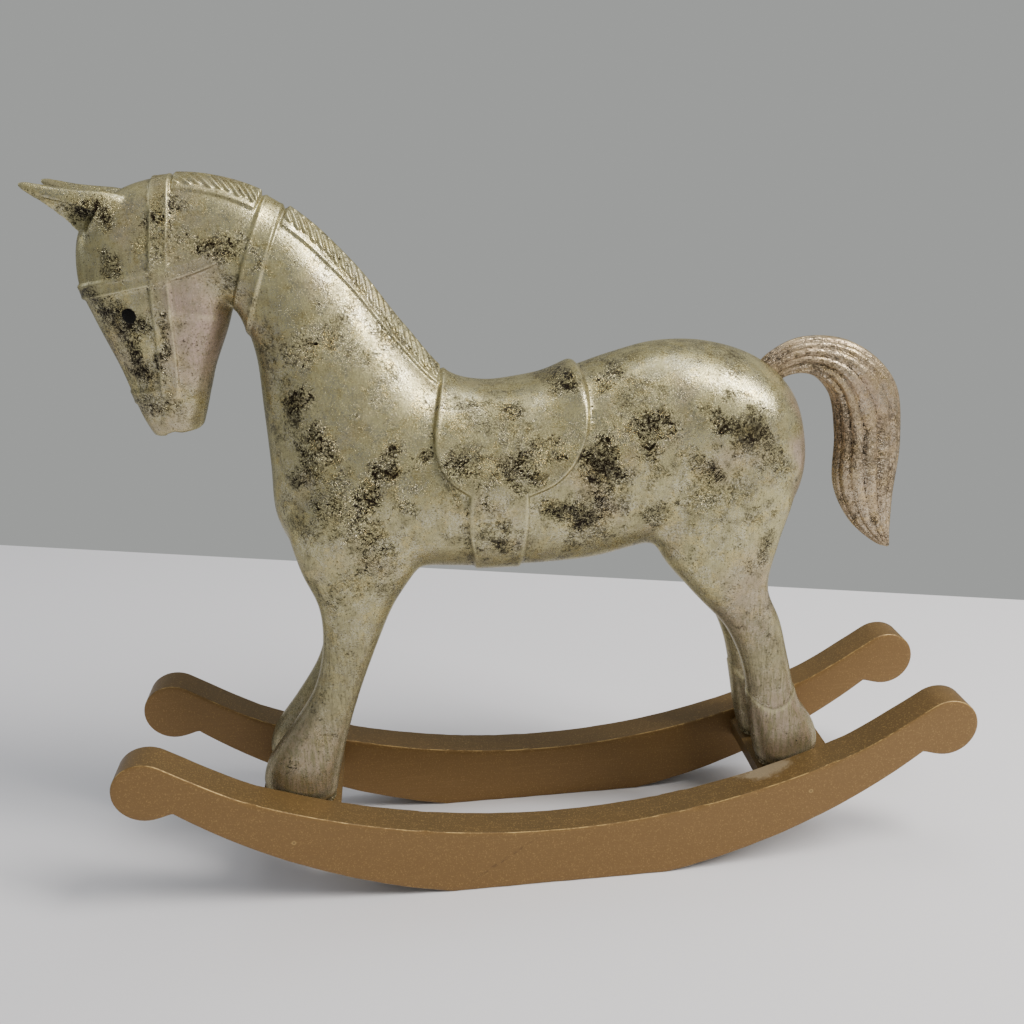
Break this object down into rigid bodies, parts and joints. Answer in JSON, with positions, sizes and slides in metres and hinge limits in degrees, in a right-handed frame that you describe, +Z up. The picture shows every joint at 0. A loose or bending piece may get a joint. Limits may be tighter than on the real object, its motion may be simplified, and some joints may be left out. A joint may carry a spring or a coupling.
{
  "type": "rocking horse ornament",
  "caption": "Carved wooden rocking horse ornament with saddle, bridle, grooved mane and fluted tail, standing on two bowed rockers joined by crossbars.",
  "frame": {"origin": "on the floor under the middle of the overall length and width", "axes": "+X runs from the head to the tail, +Y to the horse's right side, +Z up"},
  "size_m": [0.402, 0.0864, 0.3272],
  "materials": {
    "horse_paint": "champagne gold paint over carved wood, rubbed back to dark brown in scratchy patches, satin",
    "tail_paint": "champagne gold paint with a rose cast, dark brown in the flutes, satin",
    "rocker_paint": "old gold paint on sawn boards, worn lighter along the edges, satin"
  },
  "bodies": {
    "root": {"horse": "horse_paint", "tail": "tail_paint", "rocker_left": "rocker_paint", "rocker_right": "rocker_paint", "crossbar_front": "rocker_paint", "crossbar_rear": "rocker_paint"}
  },
  "joints": []
}
